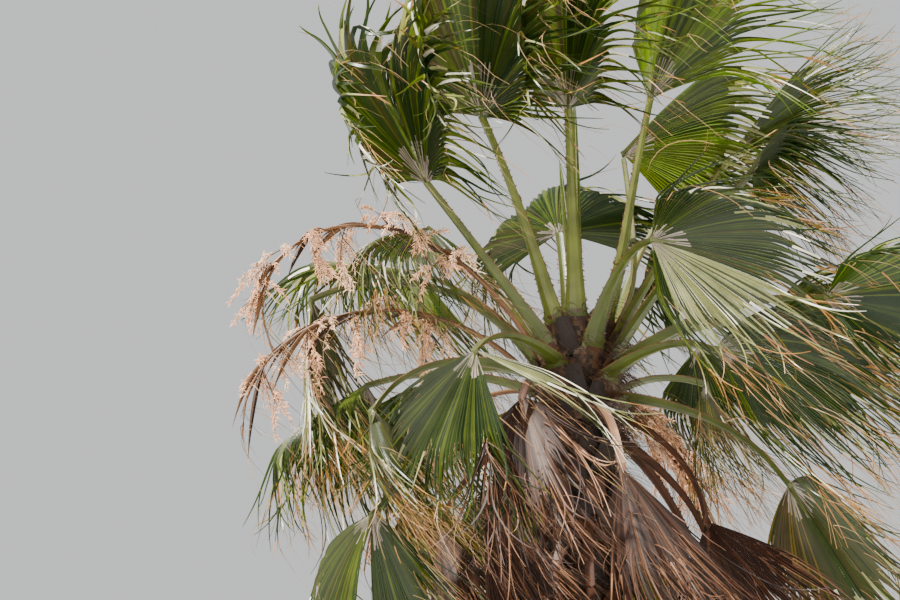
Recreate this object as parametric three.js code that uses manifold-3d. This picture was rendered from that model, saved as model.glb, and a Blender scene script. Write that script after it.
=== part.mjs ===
// A whole fan palm: a tall slim trunk, a crown of fan-shaped fronds on long toothed stalks, a skirt of
// dead fronds hanging under it, and arching flower stalks. Millimetres, +Z up. The origin is the centre
// of the flat cut at ground level. +Y is away from the viewer who stands in front of the tree.

import * as THREE from "three";
import { mergeVertices } from "three/addons/utils/BufferGeometryUtils.js";
import Module from "manifold-3d";

const wasm = await Module();
wasm.setup();

// Driving sizes of the tree
const HEART_HEIGHT = 7050; // where the newest leaves come out of the trunk's top
const LEAN = new THREE.Vector3(-100, 40, 0); // how far the heart stands to one side of the foot
const STRAIGHT_FROM = 5300; // the trunk is upright from this height, where the leaf bases sit on it
const TRUNK_RADIUS = 160; // the slim upper trunk
const FOOT_RADIUS = 360; // the root flare at the ground
const TRUNK_SIDES = 16;
const FOOT_STRETCH = 1.7; // a stalk's foot is this much taller than the stalk is thick
const SEAT_GAP = 0.3; // clearance between a stalk's foot and the trunk
const CLEARANCE = 5; // least space kept between two fronds
const SLIVER = 0.5; // joined solids are tidied of anything finer

// The lean of everything loose in a steady breeze, mostly down and a little to the right
const HANG = new THREE.Vector3(0.42, 0.1, -1).normalize();
const WIND = new THREE.Vector3(0.77, 0.1, -0.76).normalize(); // and of the loose ends of leaflets
const UP = new THREE.Vector3(0, 0, 1);
const HEART = new THREE.Vector3(LEAN.x, LEAN.y, HEART_HEIGHT);

// What a frond is unless its own line says otherwise. Angles are in degrees.
const USUAL_FROND = {
  turn: 0, // direction round the trunk, 0 to the right and 90 away from the viewer
  rise: 40, // the stalk's slope where it leaves the trunk
  sag: 20, // how far that slope falls along the stalk
  foot: 100, // depth of the stalk's foot under the heart
  stalk: 1200, // length of the stalk
  base: 95, // width of the stalk's foot
  blade: 1200, // length of the middle leaflet
  spread: 115, // half the fan's opening
  skew: 0, // turns the fan's opening to one side
  yaw: 0, // the blade's turn against its stalk
  nod: 0, // the blade's slope against the end of its stalk
  roll: 0, // the blade's twist about its own length
  fold: 12, // how far both wings fold down from the midrib
  dip: 0.3, // how much the joined inner half bends towards the hang
  droop: 2, // how much the free leaflets bend towards the hang
  leaflets: 9,
  joints: [0.42, 0.78], // where a free leaflet may bend, as shares of its length
  tint: "green",
};

// Green fronds of the side that faces the viewer, from the heart outwards
const SHOWN_FRONDS = {
  frond_top_left: {
    turn: 230, rise: 68, sag: 16, foot: 50, stalk: 1180, blade: 1300, nod: 22, yaw: 28, roll: -6,
    fold: 66, spread: 104, skew: -5, dip: 0.35, droop: 1.2,
  },
  frond_top_middle: {
    turn: 266, rise: 76, sag: 14, foot: 38, stalk: 1130, blade: 1220, nod: 11, yaw: 2, roll: 5, fold: 70,
    spread: 104, dip: 0.1, droop: 3.3,
  },
  frond_top_right: {
    turn: 317, rise: 78, sag: 5, foot: 26, stalk: 1330, blade: 1300, nod: -2, yaw: -21, roll: 18,
    fold: 63, spread: 79, skew: -2, dip: 0.55,
  },
  frond_swept_right: {
    turn: 7, rise: 87, sag: -7, foot: 26, stalk: 1250, blade: 1150, nod: -55, yaw: -45, roll: -52,
    fold: 45, spread: 88, skew: -4, dip: 0.6, droop: 1,
  },
  frond_far_right: {
    turn: 346, rise: 61, sag: 8, foot: 128, stalk: 1420, blade: 980, nod: -12, yaw: -35, roll: -52,
    fold: 45, spread: 62, dip: 0.4, droop: 0.8,
  },
  frond_right_arch: {
    turn: 340, rise: 55, sag: 9, foot: 208, stalk: 1300, blade: 850, nod: -6, yaw: -47, roll: 5,
    fold: 78, spread: 108, skew: 11, dip: 1.6, droop: 4.6,
  },
  frond_front_right: {
    turn: 289, rise: 46, sag: 68, foot: 196, stalk: 870, blade: 1080, nod: 32, yaw: 75, roll: -81,
    fold: 3, spread: 88, skew: 4, dip: 0.43, droop: 2.6,
  },
  frond_low_right: {
    turn: 326, rise: 20, sag: 39, foot: 280, stalk: 1240, blade: 980, nod: 40, yaw: 35, roll: 55,
    fold: 56, spread: 91, skew: -3, dip: 0.2,
  },
  frond_under_right: {
    turn: 310, rise: 10, sag: 46, foot: 348, stalk: 820, blade: 1070, nod: 36, yaw: 51, roll: -88,
    fold: 3, spread: 71, dip: 1.6, droop: 3.9,
  },
  frond_left_high: {
    turn: 214, rise: 45, sag: 3, foot: 152, stalk: 1070, blade: 1180, nod: 29, yaw: -27, roll: -68,
    fold: 70, spread: 108, skew: -7, dip: 0.87, droop: 4,
  },
  frond_left_middle: {
    turn: 181, rise: 66, sag: 23, foot: 184, stalk: 1050, blade: 920, nod: -60, yaw: 27, roll: 43,
    fold: 9, spread: 83, skew: -32, dip: 1.6,
  },
  frond_left_out: {
    turn: 178, rise: 65, sag: 84, foot: 272, stalk: 1500, blade: 1040, nod: -52, yaw: 50, roll: 38,
    fold: 77, spread: 106, skew: 3, dip: 0.84, droop: 0.6, tint: "yellow",
  },
  frond_front_left: {
    turn: 236, rise: 4, sag: 50, foot: 274, stalk: 900, blade: 970, nod: -23, yaw: -27, roll: 31,
    fold: 13, spread: 79, skew: 6, dip: 0.1, droop: 0.7,
  },
  frond_left_low: {
    turn: 208.5, rise: 8, sag: 63, foot: 328, stalk: 1170, blade: 780, nod: 13, yaw: 54, roll: -15,
    fold: 68, spread: 106, skew: -2, dip: 1.18, droop: 2.7, tint: "yellow",
  },
  frond_left_under: {
    turn: 206, rise: -25, sag: 31, foot: 454, stalk: 1290, blade: 960, nod: -13, yaw: -12, roll: 77,
    fold: 47, spread: 94, skew: -6, dip: 0.9,
  },
  frond_right_under: {
    turn: 340, rise: -16, sag: 43, foot: 400, stalk: 1100, blade: 1090, nod: -1, yaw: 3, roll: -90,
    fold: 59, spread: 110, skew: -14, dip: 0.84, tint: "yellow",
  },
  frond_right_level: {
    turn: 13, rise: 50, sag: 42, foot: 266, stalk: 1030, blade: 1220, nod: -5, yaw: -1, roll: 55,
    fold: 52, spread: 79, skew: 7, dip: 0.14, droop: 2,
  },
  frond_right_hanging: {
    turn: 25, rise: 42, sag: 42, foot: 338, stalk: 660, blade: 870, nod: -5, yaw: 40, roll: -88,
    fold: 25, spread: 67, skew: 30, dip: 0.62, droop: 0.6, tint: "yellow",
  },
};

// Green fronds of the far side, dealt out round it by a rule, the oldest lowest
const BACK_FRONDS = 10;
const BACK_FROM = 38;
const BACK_ARC = 136;
const BACK_STEP = 56;

function backFrond(i) {
  return {
    turn: BACK_FROM + ((i * BACK_STEP) % BACK_ARC),
    rise: 74 - 8.5 * i + (i % 2) * 20,
    sag: 14 + 3.2 * i,
    foot: 70 + 39 * i,
    stalk: 1230 - 20 * i,
    blade: 1150 - 12 * i,
    nod: -1.5 * i,
    roll: Math.max(20 - 5 * i, 0),
    fold: 14 + 3 * i,
    droop: 3,
    dip: 0.3 + 0.05 * i,
    spread: 108 - 2 * i,
    tint: i > 7 ? "yellow" : "green",
  };
}

// Dead fronds hang in two tiers round the trunk, every other one lower and on a shorter stalk
const SKIRT_TIERS = [
  { count: 10, from: 250, foot: 480, rise: -30, sag: 36, stalk: 840, blade: 1000, fold: 47, spread: 54 },
  { count: 10, from: 268, foot: 1110, rise: -54, sag: 22, stalk: 550, blade: 950, fold: 49, spread: 27 },
];
const SKIRT_SHIFT = { foot: 120, rise: -6, stalk: -90 };
// The three that the viewer sees best have their own places
const SKIRT_SHOWN = {
  dead_frond_0_0: {
    turn: 246, foot: 420, rise: -6, sag: 49, stalk: 750, yaw: 20, nod: -28, roll: -9, fold: 59,
    spread: 52, skew: 7,
  },
  dead_frond_0_1: {
    turn: 281, rise: -31, sag: 40, foot: 490, stalk: 840, nod: 0, yaw: 1, roll: -24, fold: 34,
    spread: 36, skew: -14,
  },
  dead_frond_0_2: {
    turn: 330, foot: 500, rise: -34, sag: 46, stalk: 900, yaw: -9, nod: -7, roll: -36, fold: 39,
    spread: 48, skew: 18,
  },
};
const GOLDEN_ANGLE = 137.5;

function deadFrond(n, i) {
  const tier = SKIRT_TIERS[n];
  const odd = i % 2;
  return {
    turn: (tier.from + (i * 360) / tier.count) % 360,
    rise: tier.rise + odd * SKIRT_SHIFT.rise,
    sag: tier.sag,
    foot: tier.foot + odd * SKIRT_SHIFT.foot,
    stalk: tier.stalk + odd * SKIRT_SHIFT.stalk,
    base: 80,
    blade: tier.blade,
    nod: -10,
    fold: tier.fold,
    spread: tier.spread,
    dip: 0.5,
    droop: 0.8,
    leaflets: 7,
    joints: [0.55],
    tint: "dead",
    ...SKIRT_SHOWN[`dead_frond_${n}_${i}`],
  };
}

// Flower stalks arch out past the leaves and carry clusters along their outer part
const FLOWER_STALKS = {
  flower_stalk_left_high: { turn: 200, rise: 75, sag: 169, foot: 252, length: 2400 },
  flower_stalk_left_low: { turn: 182, rise: 56, sag: 133, foot: 374, length: 2160 },
  flower_stalk_right: { turn: 58, rise: 53, sag: 108, foot: 440, length: 1450 },
  flower_stalk_back_left: { turn: 133, rise: 34, sag: 104, foot: 300, length: 1900 },
  flower_stalk_back_right: { turn: 86, rise: 45, sag: 100, foot: 250, length: 1900 },
};
const CLUSTERS = 11; // on each flower stalk
const CLUSTER_FROM = 0.48; // where along the stalk the first one sits
const CLUSTER_LENGTH = 230;

const BLADE_THICKNESS = 13;
const PLEAT = 14; // how far every other rib stands up at the end of the joined half
const JOINED = 0.52; // share of a leaflet's length where it is joined to its neighbours
const STATIONS = 12; // steps along a leaflet's curve
const BOW_ANGLE = 58; // the steepest slope at which a stalk leaves the trunk
const BOW_STEP = 60; // how fast a steeper one straightens up
const STALK_STEPS = 6;
const ARCH_STEPS = 10; // steps along a flower stalk
const RIB_SHARE = 0.2; // how far the stalk runs on under the blade as its midrib

// Directions and vectors

function heading(turn, rise) {
  const t = THREE.MathUtils.degToRad(turn);
  const r = THREE.MathUtils.degToRad(rise);
  return new THREE.Vector3(Math.cos(r) * Math.cos(t), Math.cos(r) * Math.sin(t), Math.sin(r));
}

const along = (point, direction, length) => point.clone().addScaledVector(direction, length);

// A seeded number between 0 and 1 that depends only on its two whole numbers
function draw(seed, n) {
  const x = Math.sin(seed * 127.1 + n * 311.7) * 43758.5453;
  return x - Math.floor(x);
}

// Closed solids from vertices and triangles

function solidOf(points, triangles) {
  const geometry = new THREE.BufferGeometry();
  const flat = points.flatMap((p) => [p.x, p.y, p.z]);
  geometry.setAttribute("position", new THREE.BufferAttribute(new Float32Array(flat), 3));
  geometry.setIndex(triangles.flat());
  const merged = mergeVertices(geometry, 1e-3);
  const vertProperties = merged.attributes.position.array;
  const triVerts = new Uint32Array(merged.index.array);
  const build = () => new wasm.Manifold(new wasm.Mesh({ numProp: 3, vertProperties, triVerts }));
  const made = build();
  if (made.volume() > 0) return made;
  for (let i = 0; i < triVerts.length; i += 3) {
    [triVerts[i], triVerts[i + 1]] = [triVerts[i + 1], triVerts[i]];
  }
  return build();
}

// The main body of a joined solid, without slivers or crumbs that the joining left
function tidied(solid) {
  const bodies = solid.asOriginal().simplify(SLIVER).decompose();
  return bodies.reduce((main, body) => (body.volume() > main.volume() ? body : main));
}

function geometryOf(solid) {
  const mesh = solid.getMesh();
  const position = new Float32Array(mesh.numVert * 3);
  for (let i = 0; i < mesh.numVert; i++) {
    position.set(mesh.vertProperties.subarray(i * mesh.numProp, i * mesh.numProp + 3), i * 3);
  }
  const geometry = new THREE.BufferGeometry();
  geometry.setAttribute("position", new THREE.BufferAttribute(position, 3));
  geometry.setIndex(new THREE.BufferAttribute(mesh.triVerts, 1));
  geometry.computeVertexNormals();
  return geometry;
}

// A solid through rings of equal point count, closed by a face at each end
function loft(rings) {
  const count = rings[0].length;
  const triangles = [];
  for (let r = 0; r + 1 < rings.length; r++) {
    for (let i = 0; i < count; i++) {
      const a = r * count + i;
      const b = r * count + ((i + 1) % count);
      triangles.push([a, b, b + count], [a, b + count, a + count]);
    }
  }
  const last = (rings.length - 1) * count;
  for (let i = 1; i + 1 < count; i++) {
    triangles.push([0, i + 1, i], [last, last + i, last + i + 1]);
  }
  return solidOf(rings.flat(), triangles);
}

// Space already taken, so that a leaflet is shortened where it would touch a neighbour

const taken = [];

const boxesMeet = (a, b) => [0, 1, 2].every((k) => a.min[k] <= b.max[k] && b.min[k] <= a.max[k]);

function claim(solid, owner) {
  taken.push({ solid, owner, box: solid.boundingBox() });
}

function isFree(solid, owner) {
  const box = solid.boundingBox();
  return !taken.some(
    (t) => t.owner !== owner && boxesMeet(t.box, box) && t.solid.intersect(solid).volume() > 0,
  );
}

// Trunk: a flared foot, a slow taper, then an upright top that the leaf bases sit on

function trunkRadius(z) {
  const flare = (FOOT_RADIUS - TRUNK_RADIUS - 45) * Math.exp(-z / 420);
  const taper = 45 * Math.max(0, 1 - z / STRAIGHT_FROM);
  return TRUNK_RADIUS + taper + flare;
}

function trunkAxis(z) {
  const share = Math.min(1, z / STRAIGHT_FROM);
  return new THREE.Vector3(LEAN.x, LEAN.y, 0).multiplyScalar(share * share * (3 - 2 * share)).setZ(z);
}

const trunkAngle = (side) => (side / TRUNK_SIDES) * 2 * Math.PI;

function trunkRing(centre, radius) {
  return Array.from({ length: TRUNK_SIDES }, (_, i) => {
    const angle = trunkAngle(i);
    return new THREE.Vector3(Math.cos(angle), Math.sin(angle), 0).multiplyScalar(radius).add(centre);
  });
}

function trunk() {
  const flareHeights = [0, 90, 220, 420, 720, 1150, 1700];
  const shaftHeights = [2400, 3200, 4000, 4700, STRAIGHT_FROM];
  const rings = [...flareHeights, ...shaftHeights].map((z) => trunkRing(trunkAxis(z), trunkRadius(z)));
  rings.push(trunkRing(HEART, TRUNK_RADIUS));
  const domeSteps = [
    [50, 0.78],
    [90, 0.5],
    [110, 0.25],
  ];
  for (const [height, share] of domeSteps) {
    rings.push(trunkRing(along(HEART, UP, height), TRUNK_RADIUS * share));
  }
  return loft(rings);
}

// How far the trunk's flat-sided shaft reaches in one direction
function trunkReach(turn) {
  const side = 360 / TRUNK_SIDES;
  const off = Math.abs(((((turn % side) + side) % side) + side / 2) % side - side / 2);
  return TRUNK_RADIUS * Math.cos(THREE.MathUtils.degToRad(off));
}

// Newest leaves, still closed, stand on the growing point
function spearLeaves() {
  const seat = along(HEART, UP, 110 + SEAT_GAP);
  const heights = [0, 300, 700, 1100, 1420];
  const radii = [36, 42, 34, 22, 5];
  const lean = new THREE.Vector3(0.05, -0.03, 1);
  return loft(
    heights.map((height, k) =>
      Array.from({ length: 6 }, (_, i) => {
        const angle = (i / 6) * 2 * Math.PI;
        const radius = radii[k] * (i % 2 ? 0.72 : 1);
        return along(seat, lean, height).add(
          new THREE.Vector3(Math.cos(angle), Math.sin(angle), 0).multiplyScalar(radius),
        );
      }),
    ),
  );
}

// A stalk's centre line and the slope at each of its points

function stalkPath(f, length, steps) {
  const foot = new THREE.Vector3(HEART.x, HEART.y, HEART.z - f.foot);
  const path = [along(foot, heading(f.turn, 0), trunkReach(f.turn) + SEAT_GAP)];
  for (let i = 0; i < steps; i++) {
    const s = (i + 0.5) / steps;
    const start = Math.min(f.rise, BOW_ANGLE + BOW_STEP * s);
    const slope = heading(f.turn, start - f.sag * 1.15 * s ** 1.3);
    path.push(along(path[i], slope, length / steps));
  }
  return path;
}

function bladeFrame(f) {
  const forward = heading(f.turn + f.yaw, f.rise - f.sag * 1.15 + f.nod);
  const level = new THREE.Vector3().crossVectors(forward, UP).normalize();
  const top = new THREE.Vector3().crossVectors(level, forward);
  const roll = THREE.MathUtils.degToRad(f.roll);
  const side = level.clone().multiplyScalar(Math.cos(roll)).addScaledVector(top, Math.sin(roll));
  const up = top.clone().multiplyScalar(Math.cos(roll)).addScaledVector(level, -Math.sin(roll));
  return { forward, side, up };
}

// One line of the fan: points and the across and up directions at each, at an angle from the midrib.
// The joined half bends a little towards the hang and the free half much more.
function rayOf(f, frame, start, angle) {
  const fold = THREE.MathUtils.degToRad(f.fold);
  const open = THREE.MathUtils.degToRad(Math.abs(angle));
  const sign = angle < 0 ? -1 : 1;
  const wing = frame.side.clone().multiplyScalar(sign * Math.cos(fold));
  wing.addScaledVector(frame.up, -Math.sin(fold));
  const direction = frame.forward.clone().multiplyScalar(Math.cos(open));
  direction.addScaledVector(wing, Math.sin(open)).normalize();
  const across = frame.forward.clone().multiplyScalar(-Math.sin(open) * sign);
  across.addScaledVector(wing, Math.cos(open) * sign).normalize();
  const length = f.blade * (0.62 + 0.38 * Math.cos(open * 0.8));
  const points = [start.clone()];
  const sides = [across.clone()];
  for (let i = 0; i < STATIONS; i++) {
    const t = (i + 0.5) / STATIONS;
    const pull = t < JOINED ? f.dip : f.droop * (1 + 1.5 * (t - JOINED));
    direction.addScaledVector(t < JOINED ? HANG : WIND, pull / STATIONS).normalize();
    points.push(along(points[i], direction, length / STATIONS));
    sides.push(across.clone().addScaledVector(direction, -across.dot(direction)).normalize());
  }
  const at = (list, t) => {
    const place = Math.min(t, 1) * STATIONS;
    const i = Math.min(STATIONS - 1, Math.floor(place));
    return list[i].clone().lerp(list[i + 1], place - i);
  };
  return {
    point: (t) => at(points, t),
    across: (t) => at(sides, t).normalize(),
    up: (t) => {
      const ahead = at(points, t + 0.02).sub(at(points, t - 0.02 < 0 ? 0 : t - 0.02)).normalize();
      return at(sides, t).cross(ahead).normalize();
    },
  };
}

// Stalk of a frond: a flat foot on the trunk, a channelled bar, and a midrib that runs on into the blade
function stalkSolid(f, path, midline, extra = 0) {
  const rings = [];
  const out = heading(f.turn, 0);
  const level = new THREE.Vector3().crossVectors(out, UP).normalize();
  const line = [...path, midline.point(RIB_SHARE)];
  line.forEach((centre, k) => {
    const share = Math.min(1, k / (path.length - 1));
    const onRib = k === path.length ? 2 : 0;
    const ahead = line[Math.min(k + 1, line.length - 1)].clone().sub(line[Math.max(k - 1, 0)]).normalize();
    const side = k ? new THREE.Vector3().crossVectors(ahead, UP).normalize() : level;
    const up = new THREE.Vector3().crossVectors(side, ahead).normalize();
    const width = (f.base * (1 - share) ** 1.6 + 52 * share) * (1 - 0.38 * onRib) + extra;
    const depth = (38 - 12 * share) * (1 - 0.3 * onRib) + extra;
    const corners = [
      [0.5, 0.4],
      [-0.5, 0.4],
      [-0.3, -0.6],
      [0.3, -0.6],
    ];
    rings.push(
      corners.map(([x, y]) =>
        k
          ? along(along(centre, side, x * width), up, y * depth)
          : along(along(centre, side, x * width), UP, y * depth * FOOT_STRETCH),
      ),
    );
  });
  return loft(rings);
}

// Half the width of a leaflet along its free part, where u runs from 0 to 1
const leafletWidth = (rootWidth, u) => rootWidth * (1 - u) ** 0.7;

// One free leaflet on its own, a little fat, to see whether its place is free
function leafletProbe(f, fan, i, reach) {
  const ray = fan.middles[i];
  const root = fan.borders[i].point(JOINED).distanceTo(fan.borders[i + 1].point(JOINED)) / 2;
  const rings = [0, ...f.joints, 0.98].map((u, k) => {
    const t = JOINED + (1 - JOINED) * reach * u;
    const half = (k ? leafletWidth(fan.rootWidth, u) : root) + CLEARANCE;
    const thick = BLADE_THICKNESS / 2 + (k ? CLEARANCE : PLEAT);
    return [
      [1, 1],
      [-1, 1],
      [-1, -1],
      [1, -1],
    ].map(([x, y]) => along(along(ray.point(t), ray.across(t), x * half), ray.up(t), y * thick));
  });
  return loft(rings);
}

// The fan as one closed sheet: joined inside, cut to the joint between its leaflets outside
function bladeSolid(f, fan, reaches) {
  const points = [];
  const faces = [];
  const pairAt = (centre, up) => {
    points.push(along(centre, up, BLADE_THICKNESS / 2), along(centre, up, -BLADE_THICKNESS / 2));
    return points.length - 2;
  };
  const sheet = (a, b, c) => faces.push([a, b, c], [a + 1, c + 1, b + 1]);
  const edge = (a, b) => faces.push([a, a + 1, b + 1], [a, b + 1, b]);
  const hub = pairAt(fan.start, fan.frame.up);
  const inner = fan.borders.map((ray) => pairAt(ray.point(0.26), ray.up(0.26)));
  const outer = fan.borders.map((ray, i) => {
    const lift = i % 2 ? PLEAT : -PLEAT;
    return pairAt(along(ray.point(JOINED), ray.up(JOINED), lift), ray.up(JOINED));
  });
  for (let i = 0; i < f.leaflets; i++) {
    sheet(hub, inner[i], inner[i + 1]);
    sheet(inner[i], outer[i], outer[i + 1]);
    sheet(inner[i], outer[i + 1], inner[i + 1]);
    let [left, right] = [outer[i], outer[i + 1]];
    const ray = fan.middles[i];
    for (const u of f.joints) {
      const t = JOINED + (1 - JOINED) * reaches[i] * u;
      const half = leafletWidth(fan.rootWidth, u);
      const nextLeft = pairAt(along(ray.point(t), ray.across(t), -half), ray.up(t));
      const nextRight = pairAt(along(ray.point(t), ray.across(t), half), ray.up(t));
      sheet(left, nextLeft, nextRight);
      sheet(left, nextRight, right);
      edge(left, nextLeft);
      edge(nextRight, right);
      [left, right] = [nextLeft, nextRight];
    }
    points.push(ray.point(JOINED + (1 - JOINED) * reaches[i]));
    const tip = points.length - 1;
    faces.push([left, tip, right], [left + 1, right + 1, tip]);
    faces.push([left, left + 1, tip], [right, tip, right + 1]);
  }
  edge(hub, inner[0]);
  edge(inner[0], outer[0]);
  edge(inner[f.leaflets], hub);
  edge(outer[f.leaflets], inner[f.leaflets]);
  return solidOf(points, faces);
}

function fanOf(f, start) {
  const frame = bladeFrame(f);
  const step = (2 * f.spread) / f.leaflets;
  const angleAt = (n) => f.skew - f.spread + step * n;
  const borders = Array.from({ length: f.leaflets + 1 }, (_, i) => rayOf(f, frame, start, angleAt(i)));
  const middles = Array.from({ length: f.leaflets }, (_, i) => rayOf(f, frame, start, angleAt(i + 0.5)));
  const rootWidth = f.blade * JOINED * Math.tan(THREE.MathUtils.degToRad(step / 2)) * 0.86;
  return { frame, start, borders, middles, rootWidth: Math.min(rootWidth, 62) };
}

// All fronds are laid out first: stalks and joined fans claim their space, then the free leaflets

const frondList = [
  ...Object.entries(SHOWN_FRONDS),
  ...Array.from({ length: BACK_FRONDS }, (_, i) => [`frond_back_${i}`, backFrond(i)]),
  ...SKIRT_TIERS.flatMap((tier, n) =>
    Array.from({ length: tier.count }, (_, i) => [`dead_frond_${n}_${i}`, deadFrond(n, i)]),
  ),
].map(([name, own]) => {
  const f = { ...USUAL_FROND, ...own };
  const path = stalkPath(f, f.stalk, STALK_STEPS);
  const fan = fanOf(f, path[path.length - 1]);
  return { name, f, fan, stalk: stalkSolid(f, path, rayOf(f, fan.frame, fan.start, 0)) };
});

// Flower stalk: a slim arching bar, and small spindles that hang from its outer part one after another
function flowerStalk(f, seed) {
  const path = stalkPath(f, f.length, ARCH_STEPS);
  const side = new THREE.Vector3().crossVectors(heading(f.turn, 0), UP).normalize();
  const bar = loft(
    path.map((centre, k) => {
      const share = k / ARCH_STEPS;
      const ahead = path[Math.min(k + 1, ARCH_STEPS)].clone().sub(path[Math.max(k - 1, 0)]).normalize();
      const up = k ? new THREE.Vector3().crossVectors(side, ahead).normalize() : UP;
      const radius = 22 * (1 - share) + 9;
      return [30, 150, 270].map((a) => {
        const angle = THREE.MathUtils.degToRad(a);
        return along(along(centre, side, Math.cos(angle) * radius), up, Math.sin(angle) * radius);
      });
    }),
  );
  const spindles = Array.from({ length: CLUSTERS }, (_, i) => {
    const place = (CLUSTER_FROM + ((0.97 - CLUSTER_FROM) * i) / (CLUSTERS - 1)) * ARCH_STEPS;
    const k = Math.floor(place);
    const root = path[k].clone().lerp(path[k + 1], place - k);
    const aim = heading(f.turn + GOLDEN_ANGLE * i, -15).addScaledVector(HANG, 0.9).normalize();
    return spindle(root, aim, CLUSTER_LENGTH * (0.75 + 0.5 * draw(seed, i)));
  });
  return { bar, spindles };
}

// A flower cluster's branch: four-sided, thickest a third of the way along
function spindle(root, aim, length) {
  const side = new THREE.Vector3().crossVectors(aim, UP).normalize();
  const other = new THREE.Vector3().crossVectors(side, aim);
  const ring = [0, 1, 2, 3].map((i) => {
    const angle = (i * Math.PI) / 2;
    const arm = side.clone().multiplyScalar(Math.cos(angle)).addScaledVector(other, Math.sin(angle));
    return along(along(root, aim, length * 0.38), arm, length * 0.14);
  });
  const points = [along(root, aim, -8), ...ring, along(root, aim, length)];
  const faces = [0, 1, 2, 3].flatMap((i) => {
    const [a, b] = [1 + i, 1 + ((i + 1) % 4)];
    return [
      [0, b, a],
      [5, a, b],
    ];
  });
  return solidOf(points, faces);
}

// Put together: solids by node name, with the colour each takes

const solids = new Map();
solids.set("trunk", { solid: trunk(), tint: "bark" });
solids.set("spear_leaves", { solid: spearLeaves(), tint: "green" });
for (const [name, { solid }] of solids) claim(solid, name);
for (const { name, stalk } of frondList) claim(stalk, name);

const stubs = (f) => Array(f.leaflets).fill(0.12);
for (const { name, f, fan } of frondList) claim(bladeSolid(f, fan, stubs(f)), name);

Object.entries(FLOWER_STALKS).forEach(([name, f], seed) => {
  const { bar, spindles } = flowerStalk(f, seed);
  claim(bar, name);
  const free = spindles.filter((s) => isFree(s, name));
  free.forEach((s) => claim(s, name));
  solids.set(name, { solid: tidied(free.reduce((whole, s) => whole.add(s), bar)), tint: "flower" });
});

const REACH_TRIES = [1, 0.85, 0.7, 0.55, 0.4, 0.25];
for (const { name, f, fan, stalk } of frondList) {
  const reaches = fan.middles.map((_, i) => {
    for (const reach of REACH_TRIES) {
      const probe = leafletProbe(f, fan, i, reach);
      if (isFree(probe, name)) {
        claim(probe, name);
        return reach;
      }
    }
    return 0.12;
  });
  solids.set(name, { solid: tidied(bladeSolid(f, fan, reaches).add(stalk)), tint: f.tint });
}

const FINISHES = {
  bark: { color: 0x6b5a4a, roughness: 0.95 },
  green: { color: 0x5a7434, roughness: 0.55 },
  yellow: { color: 0x8c8440, roughness: 0.65 },
  dead: { color: 0x7d5c42, roughness: 0.9 },
  flower: { color: 0xc9a27c, roughness: 0.9 },
};

const palm = new THREE.Group();
for (const [name, { solid, tint }] of solids) {
  const material = new THREE.MeshStandardMaterial({ ...FINISHES[tint], metalness: 0 });
  const mesh = new THREE.Mesh(geometryOf(solid), material);
  mesh.name = name;
  palm.add(mesh);
}

export default palm;
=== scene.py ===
"""Looks for the fan palm: fine fronds, toothed stalks, dead fronds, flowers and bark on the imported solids.

Everything is in metres in the row frame: +Z up, +Y away from the viewer, the origin at ground level.
A frond's blade is many folded leaflets, joined in their inner half, and grows by the same rule as its solid.
"""

import bpy
import numpy as np
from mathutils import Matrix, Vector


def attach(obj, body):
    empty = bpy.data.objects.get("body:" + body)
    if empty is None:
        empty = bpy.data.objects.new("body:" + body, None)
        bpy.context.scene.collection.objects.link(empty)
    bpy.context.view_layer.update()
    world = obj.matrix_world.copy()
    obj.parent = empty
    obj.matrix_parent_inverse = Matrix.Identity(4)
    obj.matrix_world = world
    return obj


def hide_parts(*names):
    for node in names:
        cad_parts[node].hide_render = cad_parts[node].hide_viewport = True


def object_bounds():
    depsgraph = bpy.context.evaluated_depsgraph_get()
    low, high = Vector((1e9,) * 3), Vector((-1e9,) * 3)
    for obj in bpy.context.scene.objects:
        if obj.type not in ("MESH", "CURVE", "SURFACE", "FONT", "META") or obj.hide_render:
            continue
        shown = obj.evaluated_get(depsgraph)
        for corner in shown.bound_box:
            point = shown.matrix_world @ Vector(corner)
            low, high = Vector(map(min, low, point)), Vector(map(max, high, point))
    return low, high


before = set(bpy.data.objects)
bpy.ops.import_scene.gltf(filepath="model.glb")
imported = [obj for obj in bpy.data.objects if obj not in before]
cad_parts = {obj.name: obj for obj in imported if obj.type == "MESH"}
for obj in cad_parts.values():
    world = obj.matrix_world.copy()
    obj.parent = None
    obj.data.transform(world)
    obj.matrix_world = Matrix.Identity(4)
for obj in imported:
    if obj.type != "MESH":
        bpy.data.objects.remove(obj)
cad_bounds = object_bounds()
CAD_BOX = np.array([list(map(float, corner)) for corner in cad_bounds])
# How far leaflets and threads may pass the solids' box: a share of each side, and 4 mm
MARGIN = 0.026 * (CAD_BOX[1] - CAD_BOX[0]) + 0.004
LOWEST = CAD_BOX[0] - MARGIN
HIGHEST = CAD_BOX[1] + MARGIN

# Driving sizes, as in the part's source

HEART = np.array([-0.10, 0.04, 7.05])  # the middle of the trunk's top. Stalks start below it
TRUNK_RADIUS = 0.16
TRUNK_SIDES = 16
FOOT_RADIUS = 0.36
STRAIGHT_FROM = 5.3  # the trunk leans and tapers below this height
WIND = np.array([0.77, 0.10, -0.76]) / np.linalg.norm([0.77, 0.10, -0.76])
HANG = np.array([0.42, 0.10, -1.0]) / np.linalg.norm([0.42, 0.10, -1.0])
UP = np.array([0.0, 0.0, 1.0])
JOINED = 0.52  # the share of a blade's length in which its leaflets are joined
BOW_ANGLE = 58  # no stalk is steeper than this at its foot
BOW_STEP = 60  # how much steeper it may be at its end
SAG_END = 1.15  # a stalk's slope at its end has lost its sag times this
SAG_POWER = 1.3
STALK_STEPS = 6
SEAT_GAP = 0.0003  # clearance between a stalk's foot and the trunk
RIB_SHARE = 0.2  # how far into the blade the stalk runs on as a rib
ARCH_STEPS = 10  # along a flower stalk

NOWHERE = (2, 2)  # a stretch across a blade that lies past its edge

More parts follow.
